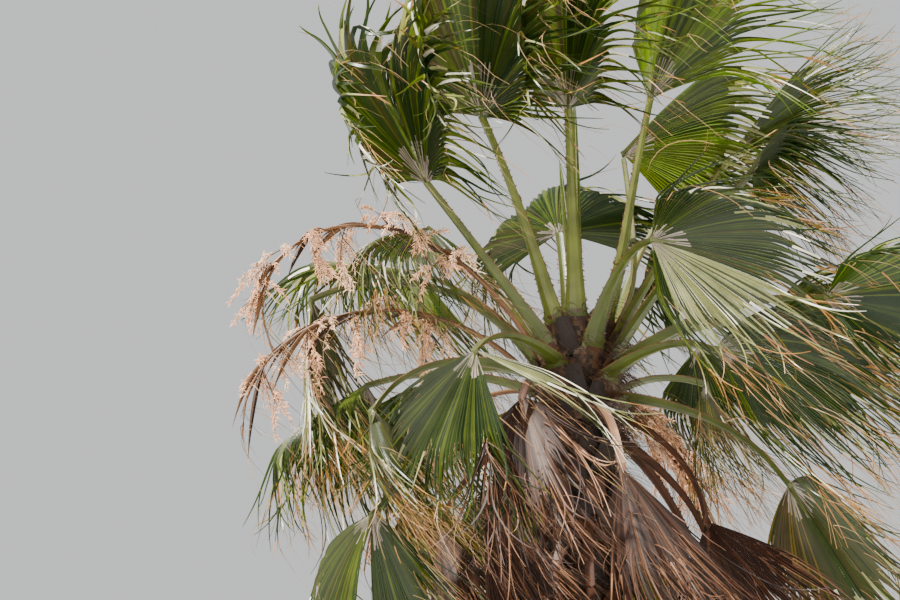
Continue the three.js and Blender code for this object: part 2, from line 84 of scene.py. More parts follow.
# The usual frond. Angles are in degrees and lengths in metres.
USUAL_FROND = dict(
    # The stalk: its bearing, its slope, how much of that it loses, how far below the heart it starts, its
    # length, the width of its foot, and its colour where that isn't the usual one
    turn=0,
    rise=40,
    sag=20,
    foot=0.1,
    stalk=1.2,
    base=0.11,
    stem="",
    # The blade: the length of its middle leaflets, the angle from the middle to either side, and how far the
    # fan is skewed, turned, nodded and rolled from the line of the stalk and folded along its own middle
    blade=1.2,
    spread=115,
    skew=0,
    yaw=0,
    nod=0,
    roll=0,
    fold=12,
    # How strongly the joined part dips and the free part droops
    dip=0.3,
    droop=2.0,
    # The kind is green, yellow or dead, and the tone says which green
    kind="green",
    tone="mid",
    leaflets=78,
    # Where the leaflets part, as a multiple of the usual place
    parted=1.0,
    # The shares of leaflets that are snapped, dry at the tip, given a painted highlight and split off in
    # strips
    torn=0.06,
    tips=0.25,
    glint_share=0.22,
    strips=0.1,
    # From where to where across the blade, which runs from -1 to 1, it is painted white as a highlight of sun
    # glare, and it has lost its leaflets
    sun_glare=NOWHERE,
    gap=NOWHERE,
)

# The fronds of the side that faces the viewer
SHOWN_FRONDS = {
    "frond_top_left": dict(
        turn=230, rise=68, sag=16, foot=0.05, stalk=1.18, blade=1.3, nod=22, yaw=28, roll=-6, fold=66,
        spread=104, skew=-5, dip=0.35, droop=1.7, tone="light", glint_share=0.15, parted=1.3,
    ),
    "frond_top_middle": dict(
        turn=266, rise=76, sag=14, foot=0.038, stalk=1.13, blade=1.22, nod=11, yaw=2, roll=5, fold=70,
        spread=104, dip=0.1, droop=2.2, tone="light", glint_share=0.15, parted=1.2,
    ),
    "frond_top_right": dict(
        turn=317, rise=78, sag=5, foot=0.026, stalk=1.33, blade=1.3, nod=-2, yaw=-21, roll=18, fold=63,
        spread=79, skew=-2, dip=0.55, tone="sunlit", parted=1.15,
    ),
    "frond_swept_right": dict(
        turn=7, rise=87, sag=-7, foot=0.026, stalk=1.25, blade=1.15, nod=-55, yaw=-45, roll=-52, fold=45,
        spread=88, skew=-4, dip=0.6, droop=2.2, tone="sunlit", tips=0.6, glint_share=0.5, parted=1.1,
    ),
    "frond_far_right": dict(
        turn=346, rise=61, sag=8, foot=0.128, stalk=1.42, blade=0.98, nod=-12, yaw=-35, roll=-52,
        fold=45, spread=62, dip=0.4, droop=0.8, tone="light", parted=0.85,
    ),
    "frond_right_arch": dict(
        turn=340, rise=55, sag=9, foot=0.208, stalk=1.3, blade=0.85, nod=-6, yaw=-47, roll=5, fold=78,
        spread=108, skew=11, dip=1.6, droop=4.6, tone="deep", glint_share=0.08, parted=0.7,
    ),
    "frond_front_right": dict(
        turn=289, rise=46, sag=68, foot=0.196, stalk=0.87, blade=1.08, nod=32, yaw=75, roll=-81, fold=3,
        spread=88, skew=4, dip=0.43, droop=2.6, tips=0.9, glint_share=0.2, sun_glare=(0.15, 0.85),
    ),
    "frond_low_right": dict(
        turn=326, rise=20, sag=39, foot=0.28, stalk=1.24, blade=0.98, nod=40, yaw=35, roll=55, fold=56,
        spread=91, skew=-3, dip=0.2, tone="deep", tips=0.7,
    ),
    "frond_under_right": dict(
        turn=310, rise=10, sag=46, foot=0.348, stalk=0.82, blade=1.07, nod=36, yaw=51, roll=-88, fold=3,
        spread=71, dip=1.6, droop=3.9, tone="deep", tips=0.9, glint_share=0.12,
    ),
    "frond_left_high": dict(
        turn=214, rise=45, sag=3, foot=0.152, stalk=1.07, blade=1.18, nod=29, yaw=-27, roll=-68, fold=70,
        spread=108, skew=-7, dip=0.87, droop=2.8, torn=0.12, glint_share=0.4, parted=1.25,
    ),
    "frond_left_middle": dict(
        turn=181, rise=66, sag=23, foot=0.184, stalk=1.05, blade=0.92, nod=-60, yaw=27, roll=43, fold=9,
        spread=83, skew=-32, dip=1.6, tone="light", tips=0.6, glint_share=0.4, parted=0.8,
    ),
    "frond_left_out": dict(
        turn=178, rise=65, sag=84, foot=0.272, stalk=1.5, blade=1.04, nod=-52, yaw=50, roll=38, fold=77,
        spread=106, skew=3, dip=0.84, droop=0.6, kind="yellow", torn=0.2, tips=0.8, glint_share=0.25,
        parted=0.85, sun_glare=(-0.2, 0.9),
    ),
    "frond_front_left": dict(
        turn=236, rise=4, sag=50, foot=0.274, stalk=0.9, blade=0.97, nod=-23, yaw=-27, roll=31, fold=13,
        spread=79, skew=6, dip=0.1, droop=0.7, tone="deep", glint_share=0.05, sun_glare=(-1, -0.45),
        gap=(-0.82, -0.42),
    ),
    "frond_left_low": dict(
        turn=208.5, rise=8, sag=63, foot=0.328, stalk=1.17, blade=0.78, nod=13, yaw=54, roll=-15,
        fold=68, spread=106, skew=-2, dip=1.18, droop=2.7, kind="yellow", torn=0.3, tips=0.95, glint_share=0.3,
        parted=0.7,
    ),
    "frond_left_under": dict(
        turn=206, rise=-25, sag=31, foot=0.454, stalk=1.29, blade=0.96, nod=-13, yaw=-12, roll=77,
        fold=47, spread=94, skew=-6, dip=0.9, torn=0.25, tips=0.85, gap=(-0.12, 0.06),
    ),
    "frond_right_under": dict(
        turn=340, rise=-16, sag=43, foot=0.4, stalk=1.1, blade=1.09, nod=-1, yaw=3, roll=-90, fold=59,
        spread=110, skew=-14, dip=0.84, kind="yellow", tips=0.8,
    ),
    "frond_right_level": dict(
        turn=13, rise=50, sag=42, foot=0.266, stalk=1.03, blade=1.22, nod=-5, yaw=-1, roll=55, fold=52,
        spread=79, skew=7, dip=0.14, tone="deep", tips=0.8,
    ),
    "frond_right_hanging": dict(
        turn=25, rise=42, sag=42, foot=0.338, stalk=0.66, blade=0.87, nod=-5, yaw=40, roll=-88, fold=25,
        spread=67, skew=30, dip=0.62, droop=0.6, kind="yellow", torn=0.3, tips=0.95, glint_share=0.2,
        parted=0.6,
    ),
}

# The fronds of the far side go round in steps of BACK_STEP within BACK_ARC, each from a lower foot
BACK_FRONDS = 10
BACK_FROM = 38
BACK_ARC = 136
BACK_STEP = 56


def back_frond(i):
    return dict(
        turn=BACK_FROM + (i * BACK_STEP) % BACK_ARC,
        rise=74 - 8.5 * i + (i % 2) * 20,
        sag=14 + 3.2 * i,
        foot=0.07 + 0.039 * i,
        stalk=1.23 - 0.02 * i,
        blade=1.15 - 0.012 * i,
        nod=-1.5 * i,
        roll=max(20 - 5 * i, 0),
        fold=14 + 3 * i,
        droop=3,
        dip=0.3 + 0.05 * i,
        spread=108 - 2 * i,
        tone=("light", "mid", "mid", "deep")[i % 4],
        kind="yellow" if i > 7 else "green",
        tips=0.25 + 0.07 * i,
    )


# Dead fronds hang in two tiers round the trunk, every other one lower and on a shorter stalk
SKIRT_TIERS = [
    dict(count=10, turn=250, foot=0.48, rise=-30, sag=36, stalk=0.84, blade=1.0, fold=47, spread=54),
    dict(count=10, turn=268, foot=1.11, rise=-54, sag=22, stalk=0.55, blade=0.95, fold=49, spread=27),
]
SKIRT_SHIFT = dict(foot=0.12, rise=-6, stalk=-0.09)
# The three that the viewer sees best have their own places
SKIRT_SHOWN = {
    "dead_frond_0_0": dict(
        turn=246, rise=-6, sag=49, foot=0.42, stalk=0.75, nod=-28, yaw=20, roll=-9, fold=59, spread=52, skew=7
    ),
    "dead_frond_0_1": dict(
        turn=281, rise=-31, sag=40, foot=0.49, stalk=0.84, nod=0, yaw=1, roll=-24, fold=34, spread=36,
        skew=-14, stem="dead_pink",
    ),
    "dead_frond_0_2": dict(
        turn=330, rise=-34, sag=46, foot=0.5, stalk=0.9, nod=-7, yaw=-9, roll=-36, fold=39, spread=48, skew=18
    ),
}


def dead_frond(n, i):
    tier, odd = SKIRT_TIERS[n], i % 2
    usual = dict(
        turn=(tier["turn"] + i * 360 / tier["count"]) % 360,
        rise=tier["rise"] + odd * SKIRT_SHIFT["rise"],
        sag=tier["sag"],
        foot=tier["foot"] + odd * SKIRT_SHIFT["foot"],
        stalk=tier["stalk"] + odd * SKIRT_SHIFT["stalk"],
        base=0.08,
        blade=tier["blade"],
        nod=-10,
        fold=tier["fold"],
        spread=tier["spread"],
        dip=0.5,
        droop=0.8,
        kind="dead",
        leaflets=64,
        torn=0.15,
        strips=0.5,
    )
    return {**usual, **SKIRT_SHOWN.get(f"dead_frond_{n}_{i}", {})}


FLOWER_STALKS = {
    "flower_stalk_left_high": dict(turn=200, rise=75, sag=169, foot=0.252, length=2.4),
    "flower_stalk_left_low": dict(turn=182, rise=56, sag=133, foot=0.374, length=2.16),
    "flower_stalk_right": dict(turn=58, rise=53, sag=108, foot=0.44, length=1.45),
    "flower_stalk_back_left": dict(turn=133, rise=34, sag=104, foot=0.3, length=1.9),
    "flower_stalk_back_right": dict(turn=86, rise=45, sag=100, foot=0.25, length=1.9),
}

rng = np.random.default_rng(7)


# Vectors


def unit(v):
    return v / np.linalg.norm(v, axis=-1, keepdims=True)


def heading(turn, rise):
    """The unit vector with a bearing and a slope in degrees."""
    t = np.radians(turn)
    r = np.radians(rise)
    return np.array([np.cos(r) * np.cos(t), np.cos(r) * np.sin(t), np.sin(r)])


def turned(v, axis, angle):
    """v turned about the unit axis by angle, row by row."""
    c, s = np.cos(angle), np.sin(angle)
    return v * c + np.cross(axis, v) * s + axis * (v * axis).sum(-1, keepdims=True) * (1 - c)


def along_line(points, places):
    """Points at fractional places on a smooth line through points."""
    n = len(points) - 1
    k = np.clip(np.floor(places).astype(int), 0, n - 1)
    t = (places - k)[:, None]
    before = points[np.maximum(k - 1, 0)]
    a, b = points[k], points[k + 1]
    after = points[np.minimum(k + 2, n)]
    return 0.5 * (
        2 * a + (b - before) * t + (2 * before - 5 * a + 4 * b - after) * t**2
        + (3 * a - 3 * b + after - before) * t**3
    )


def at_share(lines, t):
    """Values of (n, steps, 3) lines at shares t of shape (n, k)."""
    place = np.clip(t, 0, 1) * (lines.shape[1] - 1)
    k = np.minimum(place.astype(int), lines.shape[1] - 2)
    rows = np.arange(len(lines))[:, None]
    part = (place - k)[..., None]
    return lines[rows, k] * (1 - part) + lines[rows, k + 1] * part


def drawn_in(roots, lines):
    """Lines (n, k, 3) drawn in towards their roots where they would leave LOWEST to HIGHEST."""
    tiny, most, least = 1e-6, 9, 0.05
    way = lines - roots[:, None]
    moves = np.abs(way) > tiny
    room = np.where(way > 0, HIGHEST - roots[:, None], LOWEST - roots[:, None])
    share = np.min(np.where(moves, room / np.where(moves, way, 1), most), axis=(1, 2))
    return roots[:, None] + way * np.clip(share, least, 1)[:, None, None]


def circle_of(sides):
    """Cosines and sines of a circle's corners."""
    angle = np.arange(sides) / sides * 2 * np.pi
    return np.cos(angle), np.sin(angle)


# Materials: a colour with a fine mottle, a soft sheen and a grain in the surface

COLOURS = {
    "leaf_deep": (0.006, 0.017, 0.003),
    "leaf_mid": (0.016, 0.030, 0.003),
    "leaf_light": (0.049, 0.069, 0.004),
    # Painted light: the bright yellow-green of a fan in full sun
    "leaf_sunlit": (0.067, 0.117, 0.002),
    # Painted highlight: the next two paint sun glare and glints on leaflets, with their shaded halves
    "leaf_pale": (0.210, 0.221, 0.095),
    "leaf_grey": (0.034, 0.046, 0.017),
    "leaf_yellow": (0.121, 0.083, 0.005),
    "leaf_olive": (0.030, 0.027, 0.004),
    # Paler ribs: partly the rib's own colour, partly a painted highlight along the ridge of each fold
    "leaf_rib": (0.052, 0.060, 0.013),
    # Painted highlight: near-white, for glints and sun glare on leaflets
    "leaf_edge": (0.649, 0.628, 0.503),
    "leaf_tip": (0.240, 0.110, 0.028),
    "leaf_dry": (0.288, 0.158, 0.068),
    "leaf_wool": (0.238, 0.194, 0.166),
    "dead_tan": (0.076, 0.032, 0.014),
    "dead_brown": (0.024, 0.009, 0.005),
    "dead_red": (0.049, 0.015, 0.005),
    "dead_dark": (0.009, 0.004, 0.003),
    "dead_pink": (0.206, 0.101, 0.052),
    "stalk_green": (0.040, 0.051, 0.006),
    "stalk_light": (0.072, 0.084, 0.013),
    "stalk_edge": (0.085, 0.045, 0.013),
    "stalk_tan": (0.051, 0.028, 0.011),
    "bract": (0.092, 0.042, 0.016),
    "bract_dark": (0.030, 0.015, 0.008),
    "flower": (0.640, 0.350, 0.205),
    "flower_light": (0.720, 0.460, 0.300),
    "bark": (0.037, 0.023, 0.016),
    "bark_dark": (0.010, 0.007, 0.005),
    "fibre": (0.045, 0.023, 0.011),
    "thread": (0.259, 0.166, 0.076),
}
ORDER = list(COLOURS)
ROUGHNESS = {"leaf": 0.32, "dead": 0.62, "stalk": 0.36, "flower": 0.85, "bract": 0.5, "bark": 0.9}
USUAL_ROUGHNESS = 0.8
SPECULAR = 0.25
MOTTLE_SCALE = 9.0
MOTTLE_SPAN = ((0.3, 0.72), (0.7, 1.25))  # places on the ramp, and the colour's brightness there
GRAIN_SCALE, GRAIN_STRENGTH = 140.0, 0.25
BARK_GRAIN_SCALE, BARK_GRAIN_STRENGTH = 60.0, 0.5
GRAIN_DEPTH = 0.004
LETS_LIGHT_THROUGH = {"leaf_" + tint for tint in "deep mid light sunlit pale grey yellow olive".split()}
THROUGH_SHARE = 0.3
THROUGH_TINT = (1.9, 1.9, 0.8)  # light that comes through a leaf is brighter and yellower than its face


def tinted(colour, factors):
    return (*(min(1, c * factor) for c, factor in zip(colour, factors)), 1)


def material(name):
    colour = COLOURS[name]
    is_bark = name.startswith("bark")
    made = bpy.data.materials.new(name)
    made.use_nodes = True
    nodes, links = made.node_tree.nodes, made.node_tree.links
    shader = nodes["Principled BSDF"]
    shader.inputs["Roughness"].default_value = ROUGHNESS.get(name.split("_")[0], USUAL_ROUGHNESS)
    shader.inputs["Specular IOR Level"].default_value = SPECULAR
    place = nodes.new("ShaderNodeTexCoord")
    mottle = nodes.new("ShaderNodeTexNoise")
    mottle.inputs["Scale"].default_value = MOTTLE_SCALE
    mottle.inputs["Detail"].default_value = 6.0
    links.new(place.outputs["Object"], mottle.inputs["Vector"])
    shade = nodes.new("ShaderNodeValToRGB")
    for stop, (position, brightness) in zip(shade.color_ramp.elements, MOTTLE_SPAN):
        stop.position = position
        stop.color = tinted(colour, [brightness] * 3)
    links.new(mottle.outputs["Fac"], shade.inputs["Fac"])
    links.new(shade.outputs["Color"], shader.inputs["Base Color"])
    grain = nodes.new("ShaderNodeTexNoise")
    grain.inputs["Scale"].default_value = BARK_GRAIN_SCALE if is_bark else GRAIN_SCALE
    grain.inputs["Detail"].default_value = 4.0
    links.new(place.outputs["Object"], grain.inputs["Vector"])
    bump = nodes.new("ShaderNodeBump")
    bump.inputs["Strength"].default_value = BARK_GRAIN_STRENGTH if is_bark else GRAIN_STRENGTH
    bump.inputs["Distance"].default_value = GRAIN_DEPTH
    links.new(grain.outputs["Fac"], bump.inputs["Height"])
    links.new(bump.outputs["Normal"], shader.inputs["Normal"])
    if name in LETS_LIGHT_THROUGH:
        through = nodes.new("ShaderNodeBsdfTranslucent")
        through.inputs["Color"].default_value = tinted(colour, THROUGH_TINT)
        both = nodes.new("ShaderNodeMixShader")
        both.inputs["Fac"].default_value = THROUGH_SHARE
        links.new(shader.outputs["BSDF"], both.inputs[1])
        links.new(through.outputs["BSDF"], both.inputs[2])
        links.new(both.outputs["Shader"], nodes["Material Output"].inputs["Surface"])
    return made


MATERIALS = {name: material(name) for name in COLOURS}


class Sheets:
    """Gathers grids of points as quads, each with the index of its colour, and makes one mesh of them."""

    def __init__(self):
        self.points = []
        self.quads = []
        self.colours = []
        self.count = 0

    def grid(self, points, colours, closed=False):
        """points is (..., rows, columns, 3). colours is a name, or indices that fit the grid's faces."""
        rows, columns = points.shape[-3:-1]
        flat = points.reshape(-1, rows, columns, 3)
        n = len(flat)
        index = np.arange(n * rows * columns).reshape(n, rows, columns) + self.count
        after = np.roll(index, -1, axis=2) if closed else index[:, :, 1:]
        here = index if closed else index[:, :, :-1]
        quads = np.stack([here[:, :-1], after[:, :-1], after[:, 1:], here[:, 1:]], axis=-1)
        if isinstance(colours, str):
            colours = ORDER.index(colours)
        shades = np.broadcast_to(colours, quads.shape[:-1])
        self.points.append(flat.reshape(-1, 3))
        self.quads.append(quads.reshape(-1, 4))
        self.colours.append(shades.reshape(-1))
        self.count += n * rows * columns

    def mesh(self, name, slot, nodes, smooth=True):
        points = np.concatenate(self.points).astype(np.float32)
        quads = np.concatenate(self.quads).astype(np.int32)
        shades = np.concatenate(self.colours).astype(np.int32)
        data = bpy.data.meshes.new(name)
        data.vertices.add(len(points))
        data.vertices.foreach_set("co", points.ravel())
        data.loops.add(quads.size)
        data.loops.foreach_set("vertex_index", quads.ravel())
        data.polygons.add(len(quads))
        data.polygons.foreach_set("loop_start", np.arange(0, quads.size, 4, dtype=np.int32))
        used = np.unique(shades)
        for shade in used:
            data.materials.append(MATERIALS[ORDER[shade]])
        data.polygons.foreach_set("material_index", np.searchsorted(used, shades).astype(np.int32))
        data.polygons.foreach_set("use_smooth", np.full(len(quads), smooth))
        data.update(calc_edges=True)
        data.validate()
        piece = bpy.data.objects.new(name, data)
        bpy.context.scene.collection.objects.link(piece)
        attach(piece, "root")
        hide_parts(*nodes)


def dealt(names, shape):
    """Indices of colours, drawn at random from names."""
    return rng.choice([ORDER.index(name) for name in names], shape)


def tube(sheets, line, radii, colour, sides):
    """A round bar along a line of points, with a radius for each."""
    never_along = UP + 1e-3
    ahead = unit(np.gradient(line, axis=0))
    side = unit(np.cross(ahead, never_along))
    top = np.cross(side, ahead)
    across, up = circle_of(sides)
    ring = side[:, None] * across[None, :, None] + top[:, None] * up[None, :, None]
    sheets.grid(line[:, None] + ring * radii[:, None, None], colour, closed=True)


def thread_bundle(roots, heads, sheets, shortest, longest, colour, width=0.0015, rows=8):
    """Thin dry strands that leave their roots along heads and then trail with the wind."""
    stray, curls, curl_turn, end_width = 0.35, 0.12, 1.3, 0.35
    n = len(roots)
    length = rng.uniform(shortest, longest, n)
    d = unit(heads + rng.normal(0, stray, (n, 3)))
    curl = rng.normal(0, curls, (n, 3))
    trail = WIND * rng.uniform(0.15, 0.6, (n, 1))
    p = roots
    points = []
    for k in range(1, rows):
        d = unit(d + trail + curl * np.sin(k * curl_turn))
        p = p + d * (length / (rows - 1))[:, None]
        points.append(p)
    line = np.concatenate([roots[:, None], drawn_in(roots, np.stack(points, 1))], 1)
    side = unit(rng.normal(0, 1, (n, 1, 3)) * [1, 0.4, 0.6])
    taper = np.linspace(1, end_width, rows)[None, :, None]
    sheets.grid(np.stack([line - side * width * taper, line + side * width * taper], 2), colour)


# The frond's rule: a stalk, then a fan of rays whose joined part dips and whose free part droops

RAY_STEPS = 24
RAY_LENGTH, RAY_LENGTH_MIDDLE = 0.62, 0.38  # shares of the blade: what every ray has, and the middle adds
RAY_FALL = 0.8
DROOP_GAIN = 1.5


def trunk_reach(turn):
    """How far the trunk's flat side is from its axis on a bearing."""
    side = 360 / TRUNK_SIDES
    off = abs((turn + side / 2) % side - side / 2)
    return TRUNK_RADIUS * np.cos(np.radians(off))


def stalk_path(f, length, steps):
    """The middle line of a stalk: from the trunk's side, bowing up where it is steep, then sagging."""
    foot = HEART - UP * f["foot"]
    path = [foot + heading(f["turn"], 0) * (trunk_reach(f["turn"]) + SEAT_GAP)]
    for i in range(steps):
        s = (i + 0.5) / steps
        start = min(f["rise"], BOW_ANGLE + BOW_STEP * s)
        slope = heading(f["turn"], start - f["sag"] * SAG_END * s**SAG_POWER)
        path.append(path[-1] + slope * length / steps)
    return np.array(path)


def blade_frame(f):
    """The blade's own directions: forward along its middle, to the side, and up from its face."""
    forward = heading(f["turn"] + f["yaw"], f["rise"] - f["sag"] * SAG_END + f["nod"])
    level = unit(np.cross(forward, UP))
    top = np.cross(level, forward)
    roll = np.radians(f["roll"])
    c, s = np.cos(roll), np.sin(roll)
    return forward, level * c + top * s, top * c - level * s


def rays(f, axes, start, angles):
    """The fan's lines at angles from its middle: points and directions (ray, step, 3), and lengths."""
    forward, side, up = axes
    fold = np.radians(f["fold"])
    opened = np.radians(np.abs(angles))
    sign = np.where(angles < 0, -1.0, 1.0)
    wing = sign[:, None] * np.cos(fold) * side - np.sin(fold) * up
    ahead = unit(forward * np.cos(opened)[:, None] + wing * np.sin(opened)[:, None])
    length = f["blade"] * (RAY_LENGTH + RAY_LENGTH_MIDDLE * np.cos(opened * RAY_FALL))
    points, aheads = [np.broadcast_to(start, ahead.shape)], [ahead]
    for i in range(RAY_STEPS):
        t = (i + 0.5) / RAY_STEPS
        pull = f["dip"] if t < JOINED else f["droop"] * (1 + DROOP_GAIN * (t - JOINED))
        ahead = unit(ahead + (HANG if t < JOINED else WIND) * pull / RAY_STEPS)
        points.append(points[-1] + ahead * (length / RAY_STEPS)[:, None])
        aheads.append(ahead)
    return np.stack(points, 1), np.stack(aheads, 1), length


# What the leaflets of a blade look like

TONES = {
    "deep": ("leaf_mid", "leaf_deep", "leaf_mid", "leaf_light"),
    "mid": ("leaf_mid", "leaf_light", "leaf_light", "leaf_mid", "leaf_olive"),
    "light": ("leaf_light", "leaf_mid", "leaf_light", "leaf_olive"),
    # Painted light: this tone is the bright yellow-green of a fan in full sun
    "sunlit": ("leaf_sunlit", "leaf_sunlit", "leaf_light"),
    "yellow": ("leaf_yellow", "leaf_olive", "leaf_mid", "leaf_olive", "dead_tan"),
    "dead": ("dead_brown", "dead_brown", "dead_red", "dead_dark", "dead_brown", "dead_tan"),
}
# Painted shade: the colours of the half of a leaflet that is turned from the light
SHADED = {
    "deep": ("leaf_deep",),
    "mid": ("leaf_deep", "leaf_deep", "leaf_mid"),
    "light": ("leaf_mid", "leaf_deep", "leaf_mid"),
    "sunlit": ("leaf_light", "leaf_light", "leaf_mid"),
    "yellow": ("leaf_olive", "leaf_mid", "leaf_deep"),
    "dead": ("dead_dark", "dead_brown"),
}
# Painted highlight: sun glare on a stretch of blade, and the painted shade of the other halves there
SUN_GLARE, SUN_GLARE_SHADED = ("leaf_edge", "leaf_edge", "leaf_pale"), ("leaf_pale", "leaf_pale", "leaf_grey")
# Painted highlight: the colours of glints
GLINT = ("leaf_edge", "leaf_pale", "leaf_pale")
DEAD_RIB = ("dead_dark", "dead_tan", "dead_brown")
DRY_TIP = ("leaf_tip", "leaf_tip", "leaf_dry", "dead_pink", "leaf_yellow")
SHADED_SHARE = 0.75  # of leaflets whose second half gets painted shade
PALE_HALF_SHARE = 0.16  # of the free halves of dead leaflets, which are pale pink
# A dry tip starts between these places along its leaflet, and earlier in a frond with many dry tips
DRY_FROM, DRY_TO, DRY_EARLIER = 0.85, 0.97, 0.25
WOOL_ROWS = 4  # wool covers fewer rows than this

JOINED_ROWS = np.array([0.03, 0.09, 0.18, 0.31, 0.47, 0.65, 0.83, 1.0])
FREE_ROWS = 12
# Across half a leaflet: the middle of its rib, the side of its rib, and its edge
HALF = np.array([0.0, 0.1, 1.0])[None, None, :, None]
FOLD_LIVE, FOLD_DEAD = 1.1, 1.5  # how high the rib stands, as a share of half the leaflet's width
WAVES = ((0.03, 4), (0.016, 11), (0.007, 29))  # height and rate of the waves that run across a blade
BORDER_JITTER = 0.3
PARTING, PARTING_FALL = JOINED + 0.03, 0.22  # where leaflets part, and how much sooner at the sides
OUTER_LONGER = 0.5  # how much longer the free parts are at the sides


def leaflet_shades(f, share, rows):
    """The colours at each row of faces: of both halves of every leaflet, one half with painted shade and some
    with painted highlights, and of its rib.
    """
    kind, n = f["kind"], len(share)
    tone = f["tone"] if kind == "green" else kind
    body = np.repeat(dealt(TONES[tone], (2, n, 1)), rows, 2)
    shaded = dealt(SHADED[tone], (n, 1))
    # Painted shade: most leaflets get a darker colour on their second half
    body[1] = np.where(rng.random((n, 1)) < SHADED_SHARE, shaded, body[1])
    order = np.arange(rows)[None]
    free = len(JOINED_ROWS) - 1
    if kind == "dead":
        rib = np.repeat(dealt(DEAD_RIB, (n, 1)), rows, 1)
        pale_half = (rng.random((2, n, 1)) < PALE_HALF_SHARE) & (order > free)
        return np.where(pale_half, ORDER.index("dead_pink"), body), rib
    # Painted highlight: across this stretch the blade is painted near-white as sun glare, with each leaflet's
    # second half a little darker as painted shade
    first, last = f["sun_glare"]
    sun_glare = (share > first) & (share < last)
    body = np.where(sun_glare[:, None], np.stack([dealt(SUN_GLARE, (n, 1)), dealt(SUN_GLARE_SHADED, (n, 1))]), body)
    rib = np.full((n, rows), ORDER.index("leaf_rib"))
    place = np.linspace(0, 1, rows)[None]
    is_dry = rng.random(n) < f["tips"]
    dry_place = rng.uniform(DRY_FROM - DRY_EARLIER * f["tips"], DRY_TO, n)
    dry = dealt(DRY_TIP, (n, 1))
    # Painted highlight: a bent leaflet is painted bright on one side, for a short way after the bend
    bend = free + rng.integers(0, 4, (2, n, 1))
    fade = bend + rng.integers(3, 9, (2, n, 1))
    glint = (rng.random((2, n, 1)) < f["glint_share"]) & (order >= bend) & (order < fade)
    wool = order < rng.integers(0, WOOL_ROWS, n)[:, None]
    body = np.where(glint, dealt(GLINT, (2, n, 1)), body)
    for shades in (body, rib):
        shades[:] = np.where(is_dry[:, None] & (place > dry_place[:, None]), dry, shades)
        shades[:] = np.where(wool, ORDER.index("leaf_wool"), shades)
    return body, rib


def free_part(f, centred, cut, length, spine_end, ahead, half, fold):
    """The free part of every leaflet, walked out in two halves that part at the leaflet's split tip.

    Gives rows of points on the ribs, of ways to the edges and of heights of the ribs, and the last
    directions of the left halves.
    """
    n = len(centred)
    steps = FREE_ROWS - 1
    width = np.linalg.norm(half, axis=-1)
    droop = f["droop"] * rng.uniform(0.4, 1.9, n)
    reach = length * (1 - cut) * (1 + OUTER_LONGER * centred**2) * rng.uniform(0.85, 1.1, n) / steps
    past_tip, snap_length, snap_pull = 2.0, 0.06, 1.8
    snapped = np.where(rng.random(n) < f["torn"], rng.uniform(0.05, 0.5, n), past_tip)
    split = rng.uniform(0.35, 0.8, n)
    sway = rng.normal(0, 0.34, (n, 3))
    part = rng.normal(0, 0.8, (2, n, 3))
    twist = rng.normal(0, 1.3, n)
    p = np.stack([spine_end] * 2)
    d = np.stack([ahead] * 2)
    h = unit(np.stack([-half, half]))
    sign = np.array([-1.0, 1.0])[:, None, None]
    ribs, sides, tops = [], [], []
    for k in range(1, FREE_ROWS):
        u = k / steps
        # Leaflets give way most where they leave the joined part
        pull = droop * (0.35 + 3.4 * np.exp(-5 * u)) * (1 - cut) / steps
        pull = np.where(np.abs(u - snapped) < snap_length, pull + snap_pull, pull)
        own = part * (u > split)[None, :, None]
        d = unit(d + WIND * pull[None, :, None] + (sway[None] + own) / steps)
        p = p + d * reach[None, :, None]
        h = unit(h - d * (h * d).sum(-1, keepdims=True))
        h = turned(h, d, (twist / steps)[None, :, None])
        # They narrow to a point and fold up tighter
        w = width * np.maximum(1 - u, 0) ** 0.8 * (1 - 0.42 * min(1, u * 4)) + 0.0013
        tight = fold + 0.45 * min(1, u * 3)
        ribs.append(p)
        sides.append(h * w[None, :, None])
        tops.append(unit(np.cross(h * sign, d)) * (w * tight)[None, :, None])
    return ribs, sides, tops, d[0]


